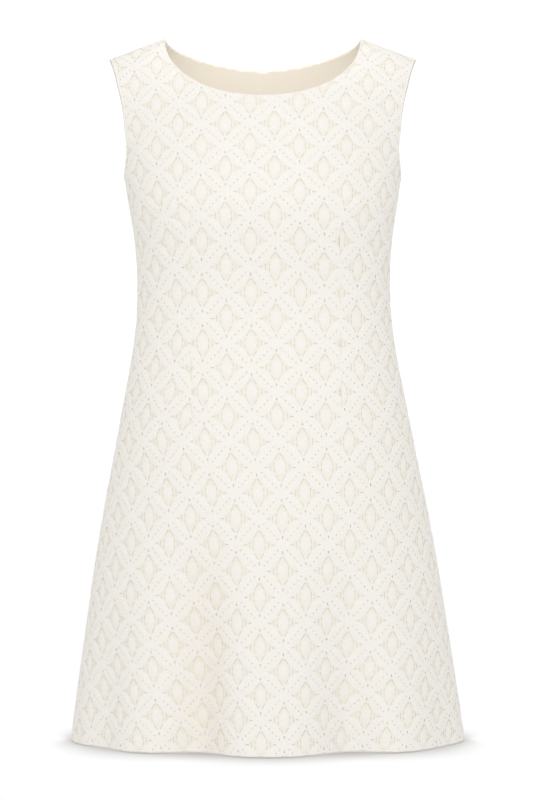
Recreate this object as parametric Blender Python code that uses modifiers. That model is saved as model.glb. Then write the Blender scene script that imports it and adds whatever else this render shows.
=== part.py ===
"""A sleeveless A-line mini dress of circle lace over a plain lining, in its worn form with no wearer.

Metres, +Z up. The front faces -Y and +X is the right of someone who looks at the front. The origin
is midway between the two shoulder seams, at the height of their middles, where a wearer holds it.

Each panel is a surface with two lengths as its coordinates: p along a level row from the centre line,
and q up the centre line from the hem. A wall is that surface moved out by two offsets, closed
along the panel's cut edge. The lace's repeat is raised in its outer points only.
"""

import math

import bpy
import numpy as np
from mathutils import Vector
from mathutils.geometry import delaunay_2d_cdt

# Driving dimensions ---------------------------------------------------------------------------

HEM_Z = -0.826
BUST_Z = -0.195
UNDERARM_Z = -0.159
SHOULDER_POINT = (0.119, 0.012)  # the neck end of a shoulder seam, as x and z
SHOULDER_TIP = (0.183, -0.012)  # its armhole end
HEM_DRIFT = 0.006  # how far the hem hangs to +X of the shoulders' middle

# The worn form below the bust: half widths and depths from the side seams' plane. square is the
# exponent of the rounded section, 2 being an ellipse.
SECTION_COLUMNS = ("z", "half_width", "front", "back", "square")
SECTIONS = (
    (HEM_Z, 0.2364, 0.168, 0.160, 2.0),
    (-0.768, 0.2284, 0.161, 0.154, 2.0),
    (-0.684, 0.2160, 0.152, 0.145, 2.0),
    (-0.607, 0.2042, 0.144, 0.137, 2.0),
    (-0.538, 0.1918, 0.136, 0.128, 2.05),
    (-0.467, 0.1781, 0.127, 0.116, 2.1),
    (-0.419, 0.1690, 0.120, 0.103, 2.15),
    (-0.368, 0.1592, 0.111, 0.090, 2.2),
    (-0.320, 0.1532, 0.106, 0.080, 2.25),
    (-0.292, 0.1521, 0.107, 0.078, 2.3),
    (-0.250, 0.1531, 0.114, 0.082, 2.35),
    (-0.211, 0.1576, 0.121, 0.091, 2.4),
    (BUST_Z, 0.1603, 0.122, 0.094, 2.4),
)

# The yoke rises from the bust row and closes over the shoulders. height is the share of the way up
# to the shoulder seam, and reach is the half width that the row would have at the side.
YOKE_COLUMNS = ("height", "reach")
YOKE = (
    (0.00, 0.1603),
    (0.18, 0.1656),
    (0.35, 0.1720),
    (0.60, 0.1880),
    (0.85, 0.2070),
    (1.00, 0.2190),
)
YOKE_RISE = {"front": 1.3, "back": 2.0}  # 2 is round, and less leans back sooner from the bust

NECK_HALF_WIDTH = 0.117
NECK_DROP = {"front": 0.078, "back": 0.030}  # below the shoulder points
NECK_ROUND = {"front": 2.1, "back": 1.6}  # exponents of the neckline's curve

# The armhole's edge as seen from the front. Below its first row it curves round to the side seam.
ARMHOLE_COLUMNS = ("z", "x")
ARMHOLE = (
    (-0.105, 0.1634),
    (-0.085, 0.1647),
    (-0.066, 0.1678),
    (-0.052, 0.1712),
    (-0.030, 0.1765),
    SHOULDER_TIP[::-1],
)

# Long soft folds that deepen towards the hem. place is the share of the half girth from the centre
# line. left and right are the distances from the fold's middle to where it is at 0.6 of its depth.
FOLD_COLUMNS = ("place", "depth", "left", "right", "top_z")
FOLDS = {
    "front": (
        (-0.262, 0.038, 0.027, 0.027, -0.500),
        (0.318, 0.038, 0.037, 0.021, -0.545),
        (-0.640, 0.010, 0.022, 0.022, -0.600),
        (0.700, 0.006, 0.024, 0.024, -0.640),
    ),
    "back": (
        (-0.330, 0.034, 0.024, 0.032, -0.520),
        (0.045, 0.026, 0.026, 0.025, -0.560),
        (0.400, 0.036, 0.028, 0.026, -0.530),
        (-0.700, 0.008, 0.023, 0.023, -0.620),
    ),
}
FOLD_SOFT_START = 0.3  # the share of a fold's height over which it starts

# Fisheye darts: place is the distance from the centre line, and intake the cloth taken in.
DART_COLUMNS = ("place", "intake", "top_z", "bottom_z")
DARTS = {
    "front": ((-0.086, 0.026, -0.190, -0.455), (0.091, 0.016, -0.190, -0.455)),
    "back": ((-0.080, 0.022, -0.170, -0.460), (0.080, 0.022, -0.170, -0.460)),
}

# Cloth layers: how far the inner and outer faces lie inside the lace's ground.
LACE_WALL = 0.0016
LAYER_GAP = 0.0003
LINING_WALL = 0.0010
HEM_WALL = 0.0012
HEM_ALLOWANCE = 0.022
LINING_RISE = 0.0010  # the lining ends this far above the fold of the hem
SEAM_GAP = 0.0003
LINING_SEAM_GAP = 0.0020  # at its outer face, because its inner face leans towards its neighbour's

# The lace repeat: junctions and diamonds alternate on a square grid, with a petal across each
# square from junction to junction.
LACE_STEP = 0.0288  # junction to diamond, across the cloth
LACE_ORIGIN = 0.014  # a column of diamonds, from the centre line
SKIRT_NARROWING = 0.935  # the hanging skirt draws the repeat in across
SKIRT_SHIFT = 0.006  # and to +X
NARROWING_Z = (-0.56, -0.42)
# The repeat stretches and slackens up the dress. step counts junctions and diamonds from one on
# that column, and height is how far that one is up the centre line from the hem.
LACE_HEIGHT_COLUMNS = ("step", "height")
LACE_HEIGHTS = (
    (-16, -0.069),
    (-12, 0.041),
    (-8, 0.151),
    (-4, 0.270),
    (0, 0.388),
    (4, 0.503),
    (8, 0.622),
    (12, 0.733),
    (16, 0.843),
    (20, 0.953),
)
PETAL_HALF_WIDTH = 0.0053
PETAL_RAISE = 0.0010
JUNCTION_RAISE = 0.0008
MEDALLION_RAISE = 0.0007

# How finely the smooth shapes are sampled.
BODY_ROWS = 110
YOKE_ROWS = 70
YOKE_LENGTH = 0.30
ROW_SAMPLES = 361
PAST_THE_SEAM = 1.12  # rows and yoke curves run on this far past their seams
GRID_STEP = 0.002
MERIDIAN_SAMPLES = 90
EDGE_CLEARANCE = 0.0055  # lace points stay this far inside a cut edge or a dart
FOLD_REACH = 2.4  # a fold's cloth bends as far as this many times its width from its middle
FOLD_MARGIN = 0.02  # and this far above its top
CDT_EPSILON = 1e-6

LACE_COLOUR = (0.93, 0.915, 0.875)
LINING_COLOUR = (0.86, 0.79, 0.68)


def table(names, rows):
    """A table's columns as arrays, by name."""
    return dict(zip(names, np.array(rows, float).T))


def smooth(x, xs, ys):
    """A smooth curve through the points (xs, ys), read at x."""
    slopes = np.gradient(ys, xs)
    k = np.clip(np.searchsorted(xs, x) - 1, 0, len(xs) - 2)
    step = xs[k + 1] - xs[k]
    t = (x - xs[k]) / step
    rise = t * t * (3 - 2 * t)
    start = t * (1 - t) ** 2 * step * slopes[k]
    end = t * t * (t - 1) * step * slopes[k + 1]
    return ys[k] * (1 - rise) + ys[k + 1] * rise + start + end


def ramp(t):
    """0 before 0 and 1 after 1, easing between."""
    t = np.clip(t, 0, 1)
    return t * t * (3 - 2 * t)


def signed_power(value, exponent):
    return np.sign(value) * np.abs(value) ** exponent


def seam_height(x):
    """The shoulder seam's height above x. It runs on in a straight line over the neck."""
    (x0, z0), (x1, z1) = SHOULDER_POINT, SHOULDER_TIP
    return z0 + (z1 - z0) * (np.abs(x) - x0) / (x1 - x0)


def fold_growth(z, top_z):
    """How much of its depth a fold has at height z: none at top_z and all at the hem."""
    t = np.clip((top_z - z) / (top_z - HEM_Z), 0, 1)
    soft = FOLD_SOFT_START
    early = t * t / (2 * soft)
    return np.where(t < soft, early, t - soft / 2) / (1 - soft / 2)


def along(points):
    """The distance along each row of points from its first."""
    steps = np.linalg.norm(np.diff(points, axis=-2), axis=-1)
    zero = np.zeros(steps.shape[:-1] + (1,))
    return np.concatenate([zero, np.cumsum(steps, axis=-1)], axis=-1)


class Panel:
    """The worn surface of the front or the back, in p and q."""

    def __init__(self, side):
        self.side = side
        self.facing = 1 if side == "front" else -1
        self.angle = np.linspace(-math.pi / 2, math.pi / 2, ROW_SAMPLES) * PAST_THE_SEAM
        self.middle = ROW_SAMPLES // 2
        self.sections = {k: v for k, v in table(SECTION_COLUMNS, SECTIONS).items()}
        self.yoke = table(YOKE_COLUMNS, YOKE)
        body, body_q = self.body_rows()
        yoke, yoke_q = self.yoke_rows()
        self.bust_q = body_q[-1]
        rows = np.concatenate([body, yoke[1:]])
        self.q = np.concatenate([body_q, body_q[-1] + yoke_q[1:]])
        length = along(rows)
        self.arc = length - length[:, self.middle : self.middle + 1]
        reach = np.abs(self.arc[:, [0, -1]]).max()
        self.p = np.arange(-reach, reach + GRID_STEP, GRID_STEP)
        self.grid = np.stack(
            [np.stack([np.interp(self.p, a, r[:, i]) for i in range(3)], 1) for a, r in zip(self.arc, rows)]
        )

    def placed(self, x, depth, z):
        """World points. The back is the front turned half round, and both lean to +X at the hem."""
        lean = HEM_DRIFT * np.clip((UNDERARM_Z - z) / (UNDERARM_Z - HEM_Z), 0, 1)
        return np.stack([self.facing * x + lean, -self.facing * depth, z], -1)

    def body_rows(self):
        """Level sections from the hem to the bust, with their folds, and the length up the centre."""
        z = np.linspace(HEM_Z, BUST_Z, BODY_ROWS)
        width, depth, square = (
            smooth(z, self.sections["z"], self.sections[k])[:, None]
            for k in ("half_width", self.side, "square")
        )
        x = width * signed_power(np.sin(self.angle), 2 / square)
        y = depth * signed_power(np.cos(self.angle), 2 / square)
        centre = np.column_stack([depth[:, 0], z])
        length = along(np.stack([x, y], -1))
        from_centre = length - length[:, self.middle : self.middle + 1]
        half_girth = np.interp(math.pi / 2, self.angle, from_centre[-1]) * width / width[-1]
        for place, fold_depth, left, right, top_z in FOLDS[self.side]:
            away = from_centre - place * half_girth
            shape = np.exp(-0.5 * (away / np.where(away < 0, left, right)) ** 2)
            pull = fold_depth * fold_growth(z, top_z)[:, None] * shape
            across, back = np.gradient(x, axis=1), np.gradient(y, axis=1)
            size = np.hypot(across, back)
            x = x + pull * back / size
            y = y - pull * across / size
        return self.placed(x, y, z[:, None] + 0 * x), along(centre)

    def yoke_point(self, angle, lift):
        """The yoke at a section angle, and at lift from 0, the bust row, to half pi, the seam."""
        square = self.sections["square"][-1]
        span = signed_power(np.sin(angle), 2 / square)
        height = np.abs(np.sin(lift)) ** (2 / YOKE_RISE[self.side])
        base = self.sections["half_width"][-1]
        reach = np.interp(height, self.yoke["height"], self.yoke["reach"])
        x = base * span + (reach - base) * signed_power(span, 4)
        depth = self.sections[self.side][-1] * signed_power(np.cos(angle), 2 / square) * np.cos(lift)
        return x, depth, BUST_Z + (seam_height(x) - BUST_Z) * height

    def yoke_rows(self):
        """Rows at equal lengths up from the bust, which run on a little over the shoulder seam."""
        lift = np.linspace(0, math.pi / 2 * PAST_THE_SEAM, MERIDIAN_SAMPLES)
        points = self.placed(*np.broadcast_arrays(*self.yoke_point(self.angle[:, None], lift[None, :])))
        length = along(points)
        q = np.linspace(0, YOKE_LENGTH, YOKE_ROWS)
        rows = [
            np.stack([np.interp(q, a, curve[:, i]) for i in range(3)], 1)
            for a, curve in zip(length, points)
        ]
        return np.stack(rows, 1), q

    def at(self, p, q):
        """World points on the surface."""
        i = np.clip((p - self.p[0]) / GRID_STEP, 0, len(self.p) - 1.001)
        j = np.interp(q, self.q, np.arange(len(self.q)))
        j = np.clip(j, 0, len(self.q) - 1.001)
        i0, j0 = i.astype(int), j.astype(int)
        s, t = (i - i0)[:, None], (j - j0)[:, None]
        low = self.grid[j0, i0] * (1 - s) + self.grid[j0, i0 + 1] * s
        high = self.grid[j0 + 1, i0] * (1 - s) + self.grid[j0 + 1, i0 + 1] * s
        return low * (1 - t) + high * t

    def normal(self, p, q, reach=0.004):
        """The outward normal, from points a little to each side."""
        low_q = np.maximum(q - reach, 0)
        across = self.at(p + reach, q) - self.at(p - reach, q)
        up = self.at(p, q + reach) - self.at(p, low_q)
        out = np.cross(across, up)
        return out / np.linalg.norm(out, axis=1)[:, None]

    def girth(self, q, sign):
        """p of the side seam at q, on the side of that sign."""
        at_seam = np.array([np.interp(sign * math.pi / 2, self.angle, arc) for arc in self.arc])
        return np.interp(q, self.q, at_seam)

    def yoke_place(self, x, z):
        """p and q of the yoke's points that show at x and z from the front."""
        height = np.clip((z - BUST_Z) / (seam_height(x) - BUST_Z), 0, 1)
        reach = np.interp(height, self.yoke["height"], self.yoke["reach"])
        base = self.sections["half_width"][-1]
        span = np.abs(x) / reach
        for _ in range(40):
            span = span - (base * span + (reach - base) * span**4 - np.abs(x)) / reach
        span = np.minimum(span, 1)
        square = self.sections["square"][-1]
        angle = np.sign(x) * np.arcsin(span ** (square / 2))
        lift = np.arcsin(height ** (YOKE_RISE[self.side] / 2))
        places = [self.yoke_length(a, b) for a, b in zip(angle, lift)]
        q = self.bust_q + np.array(places)
        p = [np.interp(a, self.angle, self.row_arc(b)) for a, b in zip(angle, q)]
        return np.array(p), q

    def seam_place(self, z):
        """q of the side seam at height z, above the bust."""
        q = self.q[self.q >= self.bust_q]
        heights = self.at(self.girth(q, 1), q)[:, 2]
        rising = np.argmax(heights)
        return float(np.interp(z, heights[:rising], q[:rising]))

    def yoke_length(self, angle, lift):
        path = self.placed(*self.yoke_point(np.full(MERIDIAN_SAMPLES, angle), np.linspace(0, lift, MERIDIAN_SAMPLES)))
        return along(path)[-1]

    def row_arc(self, q):
        """The length from the centre line at each section angle, on the row at q."""
        j = np.clip(np.interp(q, self.q, np.arange(len(self.q))), 0, len(self.q) - 1.001)
        low = int(j)
        return self.arc[low] * (1 - j + low) + self.arc[low + 1] * (j - low)

    def height_at(self, q):
        """z on the centre line at q."""
        return self.at(np.zeros_like(q), q)[:, 2]


def dart_shape(dart, z):
    """How much cloth a dart has taken in at height z."""
    place, intake, top_z, bottom_z = dart
    t = np.clip((z - bottom_z) / (top_z - bottom_z), 0, 1)
    return intake * np.sin(math.pi * t) ** 0.8


def lace_height(step):
    """q of a row of the lace, from its number of steps."""
    heights = table(LACE_HEIGHT_COLUMNS, LACE_HEIGHTS)
    return smooth(step, heights["step"], heights["height"])


def worn_from_cut(panel, u, v):
    """Where the points u across and v up of the flat lace lie on the worn panel, and which show."""
    z = panel.height_at(v)
    low, high = NARROWING_Z
    upper = ramp((z - low) / (high - low))
    p = u * (SKIRT_NARROWING + (1 - SKIRT_NARROWING) * upper) + SKIRT_SHIFT * (1 - upper)
    shows = np.ones(len(p), bool)
    for dart in DARTS[panel.side]:
        place, taken = dart[0], dart_shape(dart, z)
        sign = math.copysign(1, place)
        past = sign * p - abs(place)
        shows &= (past <= 0) | (past >= taken)
        p = np.where(past >= taken, p - sign * taken, p)
    return p, v, shows


def lace_points(panel):
    """The lace's half-step grid on the worn panel: keys, places, raises, and which points show."""
    half = LACE_STEP / 2
    u_reach = int(0.42 / half)
    steps = table(LACE_HEIGHT_COLUMNS, LACE_HEIGHTS)["step"]
    rows = range(2 * int(steps[0]), 2 * int(steps[-1]))
    keys = [(a, b) for b in rows for a in range(-u_reach, u_reach)]
    a, b = np.array(keys).T
    even = (a % 2 == 0) & (b % 2 == 0)
    diamond = even & ((a + b) % 4 == 0)
    petal = (a % 2 != 0) & (b % 2 != 0)
    raises = np.select([diamond, even, petal], [MEDALLION_RAISE, JUNCTION_RAISE, PETAL_RAISE], 0.0)
    u = LACE_ORIGIN + half * a
    v = lace_height(b / 2)
    good = (v > 0) & (v < panel.q[-1])
    p, q, shows = worn_from_cut(panel, u, np.clip(v, 0, panel.q[-1]))
    return keys, np.column_stack([p, q]), raises, shows & good


def petal_sides(keys):
    """For each petal's middle, the two diamonds it lies between, as grid keys."""
    for a, b in keys:
        if a % 2 and b % 2:
            lean = 1 if (a + 1 + b + 1) % 4 == 0 else -1
            yield (a, b), ((a + 1, b + lean), (a - 1, b - lean)), ((a + 1, b - lean), (a - 1, b + lean))


def segment_distance(points, chain):
    """The distance from each point to a chain of straight pieces."""
    nearest = np.full(len(points), np.inf)
    for start, end in zip(chain[:-1], chain[1:]):
        edge = end - start
        t = np.clip((points - start) @ edge / max(edge @ edge, 1e-12), 0, 1)
        nearest = np.minimum(nearest, np.linalg.norm(points - start - t[:, None] * edge, axis=1))
    return nearest


def inside(points, loop):
    """Whether each point is inside the closed loop."""
    found = np.zeros(len(points), bool)
    for (x0, y0), (x1, y1) in zip(loop, np.roll(loop, -1, axis=0)):
        spans = (y0 > points[:, 1]) != (y1 > points[:, 1])
        if y0 != y1:
            found ^= spans & (points[:, 0] < (x1 - x0) * (points[:, 1] - y0) / (y1 - y0) + x0)
    return found


def cut_edge(panel, rise=0.0, gap=SEAM_GAP):
    """The panel's cut edge as a closed loop of p and q, anticlockwise.

    It starts at the hem, which is up by rise, and keeps half of the gap from each seam.
    """
    columns = LACE_ORIGIN + LACE_STEP / 2 * np.arange(-60, 60)
    hem_p, _, _ = worn_from_cut(panel, columns, np.zeros(len(columns)))
    left, right = (panel.girth(np.zeros(1), sign)[0] for sign in (-1, 1))
    hem_p = hem_p[(hem_p > left + EDGE_CLEARANCE) & (hem_p < right - EDGE_CLEARANCE)]
    hem = np.column_stack([hem_p, np.full(len(hem_p), rise)])

    armhole = table(ARMHOLE_COLUMNS, ARMHOLE)
    z = np.linspace(armhole["z"][0], armhole["z"][-1], 7)
    x = smooth(z, armhole["z"], armhole["x"])
    arm_p, arm_q = panel.yoke_place(x, z)
    underarm_q = panel.seam_place(UNDERARM_Z)
    turn = np.linspace(0, math.pi / 2, 8)[:-1]
    side_p = panel.girth(np.array([underarm_q]), 1)[0] - gap / 2
    scoop_p = side_p - (side_p - arm_p[0]) * np.sin(turn)
    scoop_q = arm_q[0] - (arm_q[0] - underarm_q) * np.cos(turn)
    arm_p, arm_q = np.concatenate([scoop_p, arm_p]), np.concatenate([scoop_q, arm_q])
    seam_x = np.linspace(SHOULDER_TIP[0], SHOULDER_POINT[0], 5)
    seam_p, seam_q = panel.yoke_place(seam_x, seam_height(seam_x))
    seam_q = seam_q - gap / 2

    turn = np.linspace(0, math.pi / 2, 9)[1:]
    power = 2 / NECK_ROUND[panel.side]
    neck_x = NECK_HALF_WIDTH * np.cos(turn) ** power
    neck_z = SHOULDER_POINT[1] - NECK_DROP[panel.side] * np.sin(turn) ** power
    neck_p, neck_q = panel.yoke_place(neck_x, np.minimum(neck_z, seam_height(neck_x)))

    rows = np.append(rise, np.linspace(HEM_ALLOWANCE, underarm_q, 13))
    side_r = panel.girth(rows, 1) - gap / 2
    side_l = panel.girth(rows, -1) + gap / 2
    right_half = [
        np.column_stack([side_r, rows]),
        np.column_stack([arm_p[1:-1], arm_q[1:-1]]),
        np.column_stack([seam_p, seam_q]),
        np.column_stack([neck_p, neck_q]),
    ]
    left_p = [arm_p[1:-1], seam_p, neck_p[:-1]]
    left_q = [arm_q[1:-1], seam_q, neck_q[:-1]]
    left_half = [np.column_stack([-p, q])[::-1] for p, q in zip(left_p, left_q)][::-1]
    side_left = np.column_stack([side_l, rows])[::-1]
    return np.concatenate([hem] + right_half + left_half + [side_left])


def dart_lines(panel):
    """Each dart's stitched line as a chain of points."""
    lines = []
    for place, intake, top_z, bottom_z in DARTS[panel.side]:
        heights = panel.height_at(panel.q)
        ends = np.interp([bottom_z, top_z], heights, panel.q)
        q = np.linspace(*ends, 9)
        lines.append(np.column_stack([np.full(len(q), place), q]))
    return lines


def triangles(loop, chains, points, edges):
    """Triangles that fill the loop, through the points and along the chains and edges.

    Also which corner each input became: the loop's first, and the points' last.
    """
    verts = [tuple(v) for v in loop]
    lines = []
    for chain in chains:
        lines += [(len(verts) + i, len(verts) + i + 1) for i in range(len(chain) - 1)]
        verts += [tuple(v) for v in chain]
    first = len(verts)
    lines += [(first + a, first + b) for a, b in edges]
    verts += [tuple(v) for v in points]
    face = list(range(len(loop)))
    out, _, faces, origins, _, _ = delaunay_2d_cdt([Vector(v) for v in verts], lines, [face], 1, CDT_EPSILON)
    became = np.full(len(verts), -1)
    for new, inputs in enumerate(origins):
        became[list(inputs)] = new
    return np.array([tuple(v) for v in out]), np.array([tuple(f) for f in faces]), became


def raised_lace(panel, loop):
    """The lace's outer mesh on the panel: places, triangles and raises."""
    keys, places, raises, shows = lace_points(panel)
    index = {key: n for n, key in enumerate(keys)}
    chains = dart_lines(panel)
    clear = inside(places, loop) & (segment_distance(places, np.vstack([loop, loop[:1]])) > EDGE_CLEARANCE)
    for chain in chains:
        clear &= segment_distance(places, chain) > EDGE_CLEARANCE
    used = {keys[n]: m for m, n in enumerate(np.flatnonzero(clear & shows))}
    kept = np.flatnonzero(clear & shows)
    points, heights = list(places[kept]), list(raises[kept])
    edges = set()

    def join(one, other, longest=LACE_STEP):
        if one in used and other in used:
            a, b = used[one], used[other]
            if np.linalg.norm(points[a] - points[b]) < longest:
                edges.add((a, b))

    for a, b in list(used):
        join((a, b), (a + 1, b), LACE_STEP * 0.6)
        join((a, b), (a, b + 1), LACE_STEP * 0.6)
    share = PETAL_HALF_WIDTH / (LACE_STEP / math.sqrt(2))
    for middle, diamonds, junctions in petal_sides(list(used)):
        for junction in junctions:
            join(middle, junction)
        for diamond in diamonds:
            if diamond not in used:
                continue
            start, end = points[used[middle]], points[used[diamond]]
            if np.linalg.norm(end - start) > LACE_STEP:
                continue
            used[(middle, diamond)] = len(points)
            points.append(start * (1 - share) + end * share)
            heights.append(0.0)
            join(middle, (middle, diamond))
            join((middle, diamond), diamond)
    found, faces, became = triangles(loop, chains, points, sorted(edges))
    lifted = np.zeros(len(found))
    lifted[became[-len(points) :]] = heights
    return (found, faces, became), lifted


def folded(panel, places):
    """Whether each place is where the skirt folds."""
    p, q = places.T
    z = panel.height_at(q)
    found = np.zeros(len(p), bool)
    for place, _, left, right, top_z in FOLDS[panel.side]:
        away = p - place * panel.girth(q, 1)
        found |= (z < top_z + FOLD_MARGIN) & (away > -FOLD_REACH * left) & (away < FOLD_REACH * right)
    return found


def plain_cloth(panel, loop):
    """A sparser mesh of the same panel, finer across where the skirt folds.

    It has a row at the top of the hem's allowance, so that the allowance is made from its points.
    """
    keys, places, _, shows = lace_points(panel)
    a, b = np.array(keys).T
    fold_top = max(row[-1] for row in FOLDS[panel.side]) + FOLD_MARGIN
    in_skirt = panel.height_at(places[:, 1]) < fold_top
    chosen = np.where(in_skirt, b % 4 == 0, b % 3 == 0) & ((a % 2 == 0) | folded(panel, places))
    clear = chosen & shows & inside(places, loop) & (places[:, 1] > 2 * HEM_ALLOWANCE)
    clear &= segment_distance(places, np.vstack([loop, loop[:1]])) > LACE_STEP / 4
    kept = np.flatnonzero(clear)
    by_key = {keys[n]: m for m, n in enumerate(kept)}
    edges = [(m, by_key[(a, b + 4)]) for (a, b), m in by_key.items() if b % 4 == 0 and (a, b + 4) in by_key]

    hem = loop[loop[:, 1] == loop[0, 1]][:-1]
    hem = hem[np.argsort(hem[:, 0])][1:-1]
    sides = np.sort(loop[loop[:, 1] == HEM_ALLOWANCE, 0])
    inner = (hem[:, 0] > sides[0] + EDGE_CLEARANCE) & (hem[:, 0] < sides[1] - EDGE_CLEARANCE)
    allowance_p = np.concatenate([sides[:1], hem[inner, 0], sides[1:]])
    chain = np.column_stack([allowance_p, np.full(len(allowance_p), HEM_ALLOWANCE)])
    return triangles(loop, [chain], places[kept], edges)


def allowance(cloth):
    """The part of the cloth's mesh that lies below the top of the hem's allowance."""
    places, faces, _ = cloth
    return faces[(places[faces, 1] < HEM_ALLOWANCE + CDT_EPSILON * 10).all(1)]


def offset_points(panel, places, offset):
    p, q = places[:, 0], places[:, 1]
    return panel.at(p, q) + panel.normal(p, q) * np.reshape(offset, (-1, 1))


def wall(panel, name, loop, outer, inner, outer_offset, inner_offset, material, collection):
    """One closed cloth wall between two meshes of the same panel."""
    outer_places, outer_faces, outer_became = outer
    inner_places, inner_faces, inner_became = inner
    count = len(outer_places)
    verts = np.vstack(
        [
            offset_points(panel, outer_places, outer_offset),
            offset_points(panel, inner_places, inner_offset),
        ]
    )
    faces = [tuple(f) for f in outer_faces]
    faces += [tuple(count + np.array(f)[::-1]) for f in inner_faces]
    top = outer_became[: len(loop)]
    bottom = count + inner_became[: len(loop)]
    for i in range(len(loop)):
        j = (i + 1) % len(loop)
        faces += [(top[j], top[i], bottom[i]), (top[j], bottom[i], bottom[j])]
    return cloth_object(name, verts, faces, material, collection)


def cloth_object(name, verts, faces, material, collection, thickness=0.0):
    """An object from its mesh, which a Solidify modifier makes a wall if it has a thickness."""
    mesh = bpy.data.meshes.new(name)
    mesh.from_pydata([tuple(v) for v in verts], [], [tuple(int(i) for i in f) for f in faces])
    mesh.shade_smooth()
    mesh.set_sharp_from_angle(angle=math.radians(50))
    mesh.materials.append(material)
    obj = bpy.data.objects.new(name, mesh)
    collection.objects.link(obj)
    if thickness:
        solidify = obj.modifiers.new("wall", "SOLIDIFY")
        solidify.thickness = thickness
        solidify.offset = -1
        solidify.use_even_offset = True
    return obj


def plain_wall(panel, name, cloth, offset, thickness, material, collection):
    """A wall of even thickness from a mesh of the panel, whose outer face is offset from the panel."""
    places, faces = cloth
    used, faces = np.unique(faces, return_inverse=True)
    verts = offset_points(panel, places[used], np.full(len(used), offset))
    return cloth_object(name, verts, faces.reshape(-1, 3), material, collection, thickness)


def cloth_material(name, colour, roughness):
    material = bpy.data.materials.new(name)
    material.use_nodes = True
    shader = material.node_tree.nodes["Principled BSDF"]
    shader.inputs["Base Color"].default_value = (*colour, 1)
    shader.inputs["Roughness"].default_value = roughness
    shader.inputs["Metallic"].default_value = 0
    material.diffuse_color = (*colour, 1)
    return material


def build_side(side, lace, lining, collection):
    """The lace, lining and hem allowance of the front or the back."""
    panel = Panel(side)
    loop = cut_edge(panel)
    outer, raises = raised_lace(panel, loop)
    cloth = plain_cloth(panel, cut_edge(panel, LINING_RISE, LINING_SEAM_GAP))
    wall(panel, f"lace_{side}", loop, outer, cloth, raises, -LACE_WALL, lace, collection)
    face = -(LACE_WALL + LAYER_GAP)
    plain_wall(panel, f"lining_{side}", cloth[:2], face, LINING_WALL, lining, collection)
    turned_up = (cloth[0], allowance(cloth))
    face -= LINING_WALL + LAYER_GAP
    plain_wall(panel, f"hem_{side}", turned_up, face, HEM_WALL, lace, collection)


def main():
    for obj in list(bpy.data.objects):
        bpy.data.objects.remove(obj, do_unlink=True)
    collection = bpy.data.collections.new("a_line_dress")
    bpy.context.scene.collection.children.link(collection)
    lace = cloth_material("ivory_lace", LACE_COLOUR, 0.85)
    lining = cloth_material("beige_lining", LINING_COLOUR, 0.6)
    for side in ("front", "back"):
        build_side(side, lace, lining, collection)


main()
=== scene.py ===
"""A sleeveless A-line mini dress of ivory circle lace over a beige lining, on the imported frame."""

import math

import bpy
import numpy as np
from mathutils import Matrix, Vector
from mathutils.geometry import delaunay_2d_cdt


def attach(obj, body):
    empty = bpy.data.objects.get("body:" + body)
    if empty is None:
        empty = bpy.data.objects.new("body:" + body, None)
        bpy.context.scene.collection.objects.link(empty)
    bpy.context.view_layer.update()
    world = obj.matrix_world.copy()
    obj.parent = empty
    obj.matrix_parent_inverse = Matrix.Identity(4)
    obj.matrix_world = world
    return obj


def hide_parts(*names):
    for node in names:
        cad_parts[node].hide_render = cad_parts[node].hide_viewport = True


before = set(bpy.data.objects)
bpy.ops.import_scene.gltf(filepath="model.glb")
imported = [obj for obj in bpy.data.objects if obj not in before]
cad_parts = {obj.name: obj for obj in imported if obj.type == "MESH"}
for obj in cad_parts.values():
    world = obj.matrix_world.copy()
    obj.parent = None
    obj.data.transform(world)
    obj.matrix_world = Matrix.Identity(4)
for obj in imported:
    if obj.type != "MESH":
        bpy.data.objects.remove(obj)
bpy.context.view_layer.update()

# The worn form, as the solids have it ------------------------------------------------------------

HEM_Z = -0.826
BUST_Z = -0.195
UNDERARM_Z = -0.159
SHOULDER_POINT = (0.119, 0.012)  # the neck end of a shoulder seam, as x and z
SHOULDER_TIP = (0.183, -0.012)  # its armhole end
HEM_DRIFT = 0.006  # how far the hem hangs to +X of the shoulders' middle

# The worn form below the bust: half widths and depths from the side seams' plane. square is the
# exponent of the rounded section, 2 being an ellipse.
SECTION_COLUMNS = ("z", "half_width", "front", "back", "square")
SECTIONS = (
    (HEM_Z, 0.2364, 0.168, 0.160, 2.0),
    (-0.768, 0.2284, 0.161, 0.154, 2.0),
    (-0.684, 0.2160, 0.152, 0.145, 2.0),
    (-0.607, 0.2042, 0.144, 0.137, 2.0),
    (-0.538, 0.1918, 0.136, 0.128, 2.05),
    (-0.467, 0.1781, 0.127, 0.116, 2.1),
    (-0.419, 0.1690, 0.120, 0.103, 2.15),
    (-0.368, 0.1592, 0.111, 0.090, 2.2),
    (-0.320, 0.1532, 0.106, 0.080, 2.25),
    (-0.292, 0.1521, 0.107, 0.078, 2.3),
    (-0.250, 0.1531, 0.114, 0.082, 2.35),
    (-0.211, 0.1576, 0.121, 0.091, 2.4),
    (BUST_Z, 0.1603, 0.122, 0.094, 2.4),
)

# The yoke rises from the bust row and closes over the shoulders. height is the share of the way up
# to the shoulder seam, and reach is the half width that the row would have at the side.
YOKE_COLUMNS = ("height", "reach")
YOKE = (
    (0.00, 0.1603),
    (0.18, 0.1656),
    (0.35, 0.1720),
    (0.60, 0.1880),
    (0.85, 0.2070),
    (1.00, 0.2190),
)
YOKE_RISE = {"front": 1.3, "back": 2.0}  # 2 is round, and less leans back sooner from the bust

NECK_HALF_WIDTH = 0.117
NECK_DROP = {"front": 0.078, "back": 0.030}  # below the shoulder points
NECK_ROUND = {"front": 2.1, "back": 1.6}  # exponents of the neckline's curve

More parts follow.
